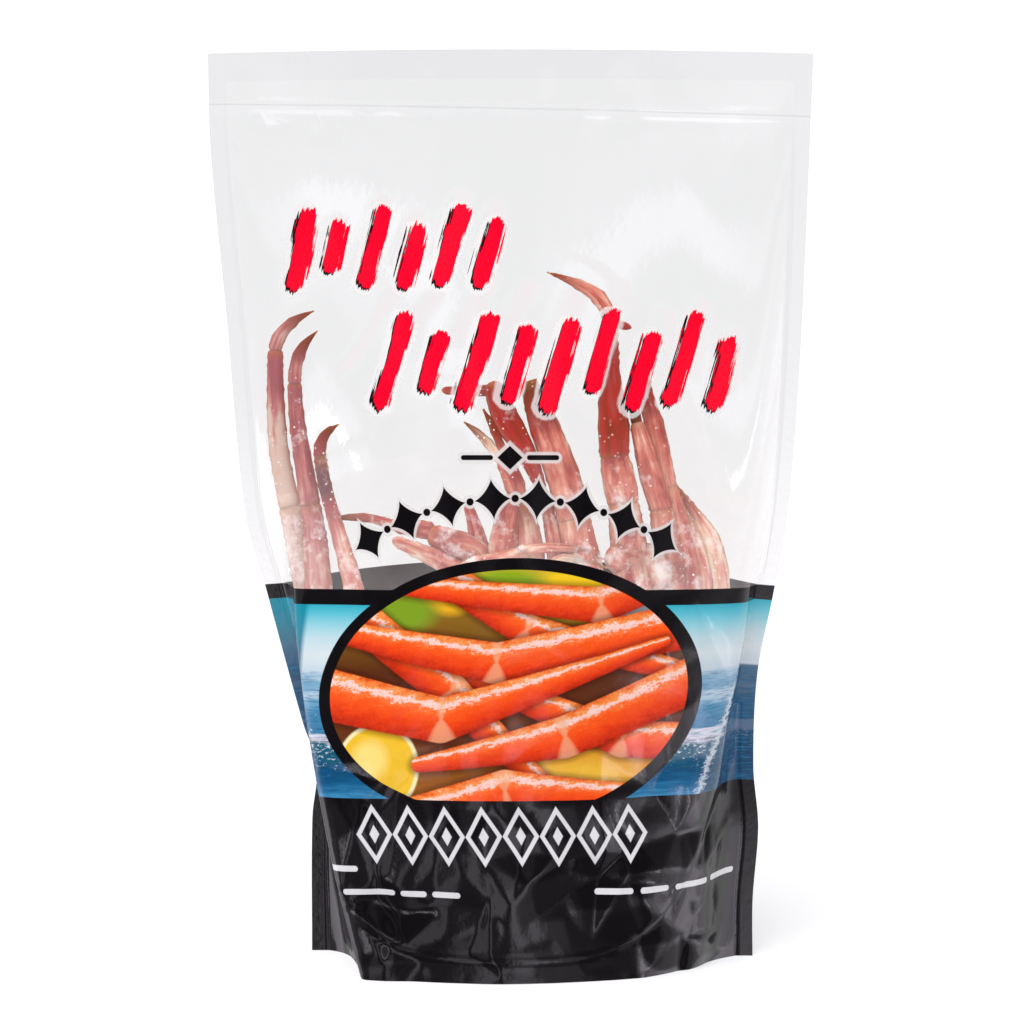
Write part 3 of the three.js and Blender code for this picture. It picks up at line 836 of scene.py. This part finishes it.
to_side, over = strip(across, -3.4), node("SUBTRACT", up, 261.5)
side_bars = bar(node("CombineXYZ", to_side, over), 10, 0, 24, 0)[0]
ornament = least(node("SUBTRACT", side_bars, 1.3), lozenge(to_side, over, 6.5, 6.0))
figure = least(stars, dots, ornament)
black = node("MAXIMUM", inked(figure), inked(ellipse(place, *RING)))
edging = node("MULTIPLY", inked(figure, 0.8, 1.6), 0.8)
laminate(node("MAXIMUM", black, edging), node("Mix RGBA", black, EDGING_WHITE, INK_BLACK))

# Two rows of slanted red dabs, as from a broad dry brush, with a black shadow below them to the left
# and a soft white edge. Each dab goes from its bottom x and y to its top x and y.
dab_half = 4.6
shadow_offset = (1.4, 1.1, 0)
ROWS_OF_DABS = {
    "upper": [(-115, 353, -104, 387), (-95, 362, -89, 380), (-77, 354, -66, 388),
              (-56, 353, -48, 378), (-37, 355, -26, 388), (-17, 353, -8, 381)],
    "lower": [(-70, 291, -57, 332), (-46, 299, -39, 322), (-26, 290, -13, 331), (-3, 294, 7, 325),
              (17, 289, 29, 328), (40, 299, 51, 333), (61, 290, 71, 322), (82, 293, 95, 333),
              (105, 291, 114, 320)]}
dab_prints = {}
for row, dabs in ROWS_OF_DABS.items():
    dab_prints[row], tree = new_material("reverse_printed_laminate_dabs_" + row)
    place, across, up = flat_place()
    bristles = ripples(place, (1.3, 60), math.radians(-17), 3.0, 0.6)
    ragged = node("MULTIPLY_ADD", bristles, 9.0, -4.5 - dab_half)
    lean = node("MULTIPLY_ADD", ripples(place, (22, 22)), 6.0, -3.0)
    swayed = node("VectorMath ADD", place, node("CombineXYZ", lean))
    shades = []
    for offset in ((0, 0, 0), shadow_offset):
        shifted = node("VectorMath ADD", swayed, offset)
        nearest = least(*[bar(shifted, *dab)[0] for dab in dabs])
        shades.append(node("ADD", nearest, ragged))
    red = node("Mix RGBA", bristles, "#f2002a", "#e60024")
    colour = node("Mix RGBA", inked(shades[1]), EDGING_WHITE, INK_BLACK)
    colour = node("Mix RGBA", inked(shades[0]), colour, red)
    around = node("MULTIPLY_ADD", bristles, 2.0, nearest)
    edging = node("MULTIPLY", inked(around, 1.0, dab_half + 3.8), 0.6)
    laminate(node("MAXIMUM", inked(least(*shades)), edging), colour, 0.95)

# The clear header has the press-to-close zip across it, two ribs on a thicker, milkier strip.
clear_film, tree = new_material("clear_laminate_with_zip")
place, across, up = flat_place()
along_zip = node("MULTIPLY_ADD", across, zip_slope, zip_height)
above_zip = node("SUBTRACT", up, along_zip)
base = node("MULTIPLY", inked(strip(above_zip, 0.0, 3.2), 1.0), 0.10)
rib = inked(strip(above_zip, 1.6, 0.4), 0.8)
milkiness = node("MAXIMUM", node("MULTIPLY", rib, 0.22), base)
laminate(milkiness, node("Mix RGBA", rib, "#f4f5f6", "#8f9196"))

# The back is black to the same height, with a blank pale panel ruled in grey.
back_print, tree = new_material("reverse_printed_laminate_back")
place, across, up = flat_place()
panel = node("MAXIMUM", strip(across, 0.0, 78.0), strip(up, 118.0, 52.0))
rule = strip(in_cell(node("MULTIPLY", up, 0.1), 10.0), 0.0, 0.3)
rules = node("MAXIMUM", rule, node("ADD", panel, 6.0))
ruled = node("Mix RGBA", inked(rules), "#e9eaec", "#8f9398")
laminate(inked(up, reach=black_top), node("Mix RGBA", inked(panel), INK_BLACK, ruled))

gusset_print, tree = new_material("reverse_printed_laminate_gusset")
laminate(1.0, INK_BLACK)

pouch = mesh_piece("pouch_film", np.concatenate(points), faces, [
    lower_print, arch_print, dab_prints["lower"], dab_prints["upper"], clear_film, back_print,
    gusset_print], slots)
across = (np.arange(body_columns + 1) / body_columns - 0.5) * (width - 2 * side_seal)
seal_steps = side_seal * np.linspace(1, 0, seal_columns, endpoint=False)
across = np.concatenate([across[0] - seal_steps, across, across[-1] + seal_steps[::-1]])
flat = np.zeros((len(pouch.data.vertices), 2))
panel_flat = np.stack(np.meshgrid(across, row_shares * height), axis=2)
flat[:2 * rows * columns] = np.concatenate([panel_flat.reshape(-1, 2)] * 2) * MM
uv_layer = pouch.data.uv_layers.new(name="flat_film")
corner_points = np.zeros(len(pouch.data.loops), int)
pouch.data.loops.foreach_get("vertex_index", corner_points)
uv_layer.data.foreach_set("uv", flat[corner_points].ravel())
pouch.data.set_sharp_from_angle(angle=math.radians(60))
pouch.visible_diffuse = False  # the frosty bag passes the room's light on to what is in it
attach(pouch, "root")
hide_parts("pouch")

# ------------------------------------------------------------
# The crab clusters: cooked and frozen snow crab legs, each a flattened jointed shell that ends in
# a curved pointed claw. They stand in the pouch with their tips up, glazed with frost.
# ------------------------------------------------------------

shell_flatness = 0.6


def kept_inside(points, half=0.0, clearance=0.6):
    """Points pressed back where they, or shells of that half width about them, would come through
    the film."""
    x, y, z = points.T
    row = np.clip(np.searchsorted(row_shares, z / height), 0, rows - 1)
    half = np.broadcast_to(half, x.shape)
    pressed = points.copy()
    for r in np.unique(row):
        here = row == r
        across = np.linspace(front[r, 0, 0], front[r, -1, 0], 240)
        room = []
        for sheet, side in ((front, -1), (back, 1)):
            order = np.argsort(sheet[r, :, 0])
            room.append(side * np.interp(across, sheet[r, order, 0], sheet[r, order, 1]) - clearance)
        open_span = across[room[0] + room[1] > 2.5]
        middle = (open_span[0] + open_span[-1]) / 2
        pressed[here, 0] = np.clip(x[here], np.minimum(open_span[0] + half[here], middle),
                                   np.maximum(open_span[-1] - half[here], middle))
        low = -np.interp(pressed[here, 0], across, room[0]) + half[here] * shell_flatness
        high = np.interp(pressed[here, 0], across, room[1]) - half[here] * shell_flatness
        middle = (low + high) / 2
        pressed[here, 1] = np.clip(y[here], np.minimum(low, middle), np.maximum(high, middle))
    return pressed


def curve_through(stations, share):
    """A smooth curve through the rows of stations, read at shares of the way along them."""
    stations = np.array(stations, float)
    run = np.concatenate([[0], np.cumsum(np.linalg.norm(np.diff(stations[:, :3], axis=0), axis=1))])
    run /= run[-1]
    return np.stack([follow(list(zip(run, column)), share) for column in stations.T], axis=1)


leg_sides = 24
leg_step = 2.0
bead_spacing = 4.2
bead_height = 0.5
joint_overlap = 2.0
joint_rounding = 3.0
hidden_foot = 125


class Shells:
    """Collects the shells of one cluster: their points and faces, and marks of where each point lies:
    how far from the tip, how far to the shell's side, its share of the shell, and its tone."""

    def __init__(self, seed):
        self.random = np.random.default_rng(seed)
        self.points, self.faces, self.marks = [], [], []
        self.count = 0

    def shell(self, stations, from_tip=60, pointed=False):
        """One shell through stations of x, y, z, half width and tone, flattened from the front. It
        reaches a little way into its neighbours, unless it starts as a pointed tip."""
        stations = np.array(stations, float)
        for end, inner in ((0, 1), (-1, -2)):
            if end or not pointed:
                on_way = (stations[end] - stations[inner])[:3]
                stations[end][:3] += on_way * joint_overlap / np.linalg.norm(on_way)
        length = np.linalg.norm(np.diff(stations[:, :3], axis=0), axis=1).sum()
        count = max(8, int(length / leg_step))
        share = np.linspace(0, 1, count + 1)
        share = share - 0.6 * np.sin(2 * np.pi * share) / (2 * np.pi)  # closer rings at both ends
        spine = curve_through(stations, share)
        half, tone = spine[:, 3], spine[:, 4]
        spine = kept_inside(spine[:, :3], half)
        for _ in range(3):  # eases the kinks that the film's hold has left
            spine[1:-1] = (spine[:-2] + 2 * spine[1:-1] + spine[2:]) / 4
        heading = np.gradient(spine, axis=0)
        heading /= np.linalg.norm(heading, axis=1, keepdims=True)
        facing = np.array((0.0, -1.0, 0.0))
        thin = facing - (heading @ facing)[:, None] * heading
        thin /= np.linalg.norm(thin, axis=1, keepdims=True)
        wide = np.cross(heading, thin)
        near_end = (1 - share if pointed else np.minimum(share, 1 - share)) * length / joint_rounding
        half = half * np.sqrt(np.clip(1 - (1 - np.clip(near_end, 0, 1))**2, 0.04, 1))
        angle = np.linspace(0, 2 * np.pi, leg_sides, endpoint=False)
        ring_wide = np.sign(np.cos(angle)) * np.abs(np.cos(angle))**0.85
        ring_thin = np.sign(np.sin(angle)) * np.abs(np.sin(angle))**1.05
        margin = np.abs(np.cos(angle))**12
        beads = bead_height * np.clip(np.cos(share * length * 2 * np.pi / bead_spacing), 0, 1)**3
        uneven = self.random.normal(0, 0.06, (count + 1, leg_sides))
        grow = 1 + (beads[:, None] * margin + uneven) / np.maximum(half, 1.5)[:, None]
        size = (half[:, None] * grow)[..., None]
        rings = spine[:, None] + size * (ring_wide[None, :, None] * wide[:, None]
                                         + shell_flatness * ring_thin[None, :, None] * thin[:, None])
        self.points.append(np.concatenate([rings.reshape(-1, 3), spine[[0, -1]]]))
        ring = self.count + np.arange(leg_sides)
        after = np.roll(ring, -1)
        for near in range(0, count * leg_sides, leg_sides):
            far = near + leg_sides
            quads = ring + near, ring + far, after + far, after + near
            self.faces += np.stack(quads, axis=1).tolist()
        self.count += (count + 1) * leg_sides + 2
        poles = np.full(leg_sides, self.count - 2), np.full(leg_sides, self.count - 1)
        self.faces += np.stack([poles[0], ring, after], axis=1).tolist()
        self.faces += np.stack([poles[1], after + far, ring + far], axis=1).tolist()
        run = (from_tip + share * length) * MM
        marks = (np.repeat(run, leg_sides), np.tile(np.cos(angle), count + 1),
                 np.repeat(share, leg_sides), np.repeat(tone, leg_sides))
        ends = [[run[0], 0, 0, tone[0]], [run[-1], 0, 1, tone[-1]]]
        self.marks.append(np.concatenate([np.stack(marks, axis=1), ends]))
        return from_tip + length

    def leg(self, *shells):
        """A walking leg from its pointed tip down, or a claw's finger, one shell after the other.
        The last shell goes on down among the rest."""
        run = 0
        for number, stations in enumerate(shells):
            if number == len(shells) - 1 and stations[-1][2] < 225:
                x, y, _, half, tone = stations[-1]
                stations = stations + [(x * 0.86, y * 0.6, hidden_foot, half * 0.85, tone)]
            run = self.shell(stations, run, number == 0)

    def piece(self, name, material):
        """The cluster's mesh, with its marks in two UV maps."""
        made = mesh_piece(name, kept_inside(np.concatenate(self.points)), self.faces, [material])
        corners = np.zeros(len(made.data.loops), int)
        made.data.loops.foreach_get("vertex_index", corners)
        marks = np.concatenate(self.marks)[corners]
        for layer, columns in (("along_leg", marks[:, :2]), ("in_shell", marks[:, 2:])):
            made.data.uv_layers.new(name=layer).data.foreach_set("uv", columns.ravel())
        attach(made, "root")


# Cooked crab shell: red to brown with cream patches drawn out along each leg, darker at the tips,
# brown at the joints and dulled by frost and loose grains of ice. The margins are darker brown,
# partly the shell's own colour and partly painted shade where the sides turn away from the light.
# The sizes of these patterns are in millimetres. The grains lie further apart than real ones, so
# that each shows.
blotch_size = 18.182
streak_length, streak_spacing = 28.571, 16.667
frost_size, grain_spacing = 13.333, 3.125
crab_shell, tree = new_material("cooked_crab_shell_frosted")
object_place = node("TexCoord").node.outputs["Object"]
right, _, up = node("SeparateXYZ", object_place).node.outputs
from_tip, to_margin, _ = node("SeparateXYZ", node("UVMap", uv_map="along_leg")).node.outputs
shell_share, own_tone, _ = node("SeparateXYZ", node("UVMap", uv_map="in_shell")).node.outputs
blotches = node("TexNoise", object_place, 1 / (blotch_size * MM), 5.0, 0.6)
on_leg = node("CombineXYZ", from_tip, to_margin, right)
laid_along = node("Mapping", {
    "Vector": on_leg, "Scale": (1 / (streak_length * MM), 1.8, 1 / (streak_spacing * MM))})
streaks = node("ADD", node("TexNoise", laid_along, 1.0, 4.0, 0.6), -0.8)
tone = node("ADD", own_tone, node("MULTIPLY_ADD", blotches, 0.6, streaks))
shell = node("ValToRGB", tone, stops=[
    (0, "#f6dcc2"), (0.17, "#e09c88"), (0.30, "#cf6f5e"), (0.44, "#a84a42"), (0.60, "#b4281b"),
    (0.78, "#953012"), (1, "#4f2413")])
by_left_seal = node("MapRange", right, -0.07, -0.1, 0.0, 0.42)
# Partly painted shade: the shell darkens to brown towards its margins, where its sides turn away.
margin = node("MULTIPLY", node("POWER", node("ABSOLUTE", to_margin), 6.0), 0.6)
tip = node("MapRange", from_tip, 0.002, 0.024, 0.95, 0.0)
joint = node("MapRange", strip(shell_share, 0.5), 0.43, 0.5, 0.0, 0.55)
ice = node("TexNoise", object_place, 1 / (frost_size * MM), 8.0, 0.68)
low = node("MapRange", up, 0.30, 0.2, 0.25, 0.41)
frost = node("MapRange", node("ADD", ice, low), 0.88, 1.02, 0.0, 0.75)
grains = node("MapRange", node("TexVoronoi", object_place, 1 / (grain_spacing * MM)), 0.2, 0.12)
grains = node("MULTIPLY", grains, node("MapRange", blotches, 0.48, 0.58))
for cover, shade in (
        (by_left_seal, "#a07884"), (margin, "#9c6038"), (tip, "#7d3c0c"), (joint, "#c07a42"),
        (frost, "#fbeeea"), (grains, "#ffffff")):
    shell = node("Mix RGBA", cover, shell, shade)
pitted = node("Bump", {"Strength": 0.35, "Distance": 0.6 * MM, "Height": ice})
node("OutputMaterial", node("BsdfPrincipled", {
    "Base Color": shell, "Roughness": node("MapRange", frost, 0.0, 0.8, 0.36, 0.8), "Normal": pitted,
    "Subsurface Weight": 0.3, "Subsurface Radius": (6 * MM, 3 * MM, 2 * MM), "Subsurface Scale": 1.0}))

# Each leg below runs from its tip down. A station is x, y, z and half width in millimetres, and the
# shell's tone: 0 cream, 0.2 frosted pink, 0.45 mauve, 0.6 brick red, 1 brown.
# The cluster by the left seal: three slim legs with their tips curled to the right.
cluster = Shells(3)
cluster.leg([(-100, -5, 339, 0.3, 0.6), (-109.7, -6, 334.4, 2.3, 0.3), (-117.8, -7, 326.8, 3.3, 0.15),
    (-120.6, -8, 319.3, 3.6, 0.35)], [(-120.4, -8, 317.7, 3.9, 0.6), (-120.6, -8, 301.4, 4.2, 0.5),
    (-120.3, -8, 283.5, 4.7, 0.05), (-118.7, -7, 263.8, 5.0, -0.15), (-113.5, -5, 238.2, 5.6, -0.15)],
    [(-113.5, -5, 238.2, 5.7, -0.1), (-108.8, -3, 217.1, 7.0, 0.0), (-103.7, 0, 188.7, 7.5, 0.1)])
cluster.leg([(-98.3, -11, 328.9, 0.3, 0.9), (-106.3, -12, 320.6, 2.6, 0.7),
    (-109.8, -13, 311.5, 3.2, 0.25), (-110.4, -14, 301.9, 3.3, 0.35)],
    [(-110.4, -14, 301.4, 3.6, 0.42), (-110.1, -15, 289.8, 3.8, 0.44),
    (-108.4, -17, 275.2, 4.3, 0.44), (-105.4, -19, 256.6, 4.8, 0.42), (-102.4, -21, 239.9, 5.1, 0.36)],
    [(-102.4, -21, 239.9, 5.1, 0.36), (-99.8, -24, 220.3, 6.1, 0.25), (-97.4, -26, 193.3, 7.1, 0.2)])
cluster.leg([(-87.4, -16, 281.9, 0.3, 0.75), (-94.2, -17, 277.3, 2.3, 0.6), (-97.5, -18, 271.3, 2.9, 0.5),
    (-97.3, -18, 265.1, 3.1, 0.5)], [(-97.3, -18, 265.1, 3.2, 0.95), (-94.7, -21, 250.2, 3.4, 0.9),
    (-90, -24, 234.2, 3.6, 0.4), (-85.4, -27, 219.2, 4.2, 0.25), (-79.8, -30, 200.2, 5, 0.25)])
cluster.piece("crab_cluster_left", crab_shell)

# The middle one lies deeper. Two broad shells lean to the left over a claw with open fingers, and
# a second claw lies level across the cluster's foot.
cluster = Shells(5)
cluster.leg([(-88.4, -12, 233.5, 1.2, 0.3), (-79.1, -12, 234, 2.0, 0.35), (-69.4, -13, 233.1, 2.3, 0.4),
    (-59.1, -14, 229.6, 2.8, 0.35)], [(-59.1, -14, 229.6, 3, 0.3), (-50.3, -16, 228.9, 4.3, 0.35),
    (-40.1, -18, 227.6, 4.6, 0.45)], [(-40.1, -20, 226, 5.0, 0.4), (-28.1, -24, 222, 7.1, 0.45),
    (-15.4, -28, 217, 6.5, 0.3)])
cluster.shell([(-58.4, -20, 222.8, 2.6, 0.2), (-49.1, -22, 219, 3.8, 0.2), (-36.9, -24, 214, 5, 0.3),
    (-18, -28, 204, 7, 0.4)])
cluster.shell([(-21.5, -22, 241, 2.3, 0.45), (-18.5, -25, 232.3, 3.5, 0.45), (-14, -27, 214, 6, 0.4)])
cluster.shell([(-33, -14, 299.2, 2.0, 0.42), (-24.1, -15, 299, 2.4, 0.42), (-9, -17, 299.5, 3.2, 0.45)])
cluster.shell([(-9, -17, 302, 4.4, 0.5), (-3.3, -19, 287.2, 6.6, 0.55), (3.3, -22, 276.3, 6.1, 0.6),
    (10.8, -26, 262.5, 4.3, 0.6), (16, -29, 249, 2.2, 0.55)])
cluster.leg([(15, -28, 253, 2.0, 0.4), (18.9, -31, 239.3, 3.2, 0.35), (22.9, -34, 215, 4.5, 0.3)])
cluster.leg([(9, -17, 304, 4.2, 0.45), (15.4, -21, 286.3, 7.2, 0.5), (21, -24, 271.4, 8.1, 0.42),
    (27, -28, 255.6, 8.5, 0.36), (32, -33, 235.5, 8.3, 0.32)], [(32, -33, 235.5, 8.1, 0.3),
    (35, -35, 220.7, 9, 0.25), (39, -36, 200.6, 9, 0.3)])
cluster.leg([(-23.6, -16, 283.3, 0.4, 0.05), (-17.5, -18, 278.9, 1.8, 0.05), (-10.4, -20, 272, 2.3, 0.1),
    (-4.3, -22, 263.6, 2.8, 0.2)], [(-3.3, -23, 265, 4.1, 0.45), (1.3, -25, 254.8, 5.1, 0.3),
    (3.8, -27, 246.9, 4.5, 0.25)], [(3.3, -27, 246.9, 5.1, 0.6), (0.2, -29, 237.4, 7, 0.4),
    (-2.8, -31, 219.9, 8.4, 0.2)])
cluster.leg([(-13.9, -18, 290.1, 0.5, 0.6), (-9.4, -20, 282.2, 1.8, 0.6), (-4.8, -21, 271.6, 2.2, 0.55),
    (-0.3, -23, 261.6, 2.8, 0.4)])
cluster.leg([(4.3, -28, 246, 4, 0.3), (8.3, -31, 235.2, 5, 0.15), (10.8, -34, 214, 6.5, 0.2)])
cluster.leg([(46.9, -40, 216.2, 0.4, 0.1), (37.3, -42, 220.6, 1.6, 0.1), (22.8, -42, 222.6, 2.3, 0.3),
    (4.8, -41, 221, 2.9, 0.1)], [(7.3, -41, 220, 3.2, 0.1), (-5.3, -39, 215.6, 4.6, 0.2),
    (-24, -36, 207, 5.5, 0.3)])
cluster.leg([(48.4, -40, 212, 0.4, 0.05), (38.8, -42, 215.2, 1.5, 0.05), (22, -42, 215, 2.4, 0.1)])
cluster.piece("crab_cluster_middle", crab_shell)

# The right one stands tallest, its highest tip reaching left over the middle.
cluster = Shells(9)
cluster.leg([(18.5, -9, 358.8, 0.3, 0.6), (33.6, -11, 353.1, 2.5, 0.22), (45.3, -12, 345.9, 3.7, 0.25),
    (50.3, -13, 335.8, 3.5, 0.25), (51.4, -14, 323.8, 3.1, 0.4)], [(51.4, -14, 324.8, 3.1, 0.5),
    (50.8, -17, 307.3, 4.6, 0.58), (51.3, -19, 294.8, 6.7, 0.62), (52.3, -22, 279.8, 7.9, 0.62),
    (52.3, -24, 265.8, 7.2, 0.62)], [(52.3, -24, 267.4, 6.8, 0.5), (54.8, -27, 255, 8.4, 0.22),
    (57.2, -30, 242.7, 8.1, 0.2)], [(57.2, -30, 242.7, 7.6, 0.25), (59.6, -35, 223, 9.3, 0.25),
    (62.2, -36, 195.5, 9.5, 0.3)])
cluster.shell([(52.6, -8, 332.8, 2.0, 0.5), (56, -8, 332, 2.1, 0.5), (59.6, -8, 331, 1.7, 0.5)])
cluster.leg([(70.5, -7, 326.3, 0.4, 0.7), (68.9, -8, 318.3, 2.3, 0.55), (67.4, -9, 309.2, 3.1, 0.55)],
    [(67.4, -9, 309.2, 3.3, 0.62), (68.4, -11, 298.1, 3.8, 0.55), (73, -14, 282.1, 4.9, 0.34),
    (77, -16, 266.4, 4.6, 0.3), (80.6, -18, 249.8, 4.1, 0.3)], [(80.6, -18, 249.8, 4.1, 0.3),
    (84.1, -21, 233.7, 6.1, 0.28), (89.3, -25, 198.3, 7.1, 0.3)])
cluster.leg([(61.5, -17, 296, 0.8, 0.8), (62.5, -18, 290.6, 2.5, 1.0), (64, -20, 282.7, 3, 0.9)],
    [(64, -20, 282.7, 3.3, 0.2), (67, -22, 272.2, 4.8, 0.34), (71.5, -25, 255.8, 6.0, 0.36),
    (77, -28, 239.3, 6.2, 0.34)], [(77, -28, 239.3, 6.1, 0.3), (79.5, -32, 220, 7.6, 0.3),
    (82.6, -34, 194.8, 8, 0.32)])
cluster.leg([(84.4, -8, 250, 0.8, 0.2), (95.6, -11, 233.3, 3.8, 0.12), (102.7, -13, 219.6, 6.0, 0.08),
    (105.5, -15, 191.4, 7, 0.05)])
cluster.leg([(84.5, -14, 245, 1.2, 0.1), (90.6, -16, 230.4, 3.6, 0.1), (95.8, -18, 212.7, 5.1, 0.12),
    (98, -19, 192.1, 5.6, 0.1)])
cluster.shell([(50, -39, 218, 5, 0.28), (68, -40, 210, 13, 0.3), (88, -33, 203, 7, 0.28)])
cluster.piece("crab_cluster_right", crab_shell)
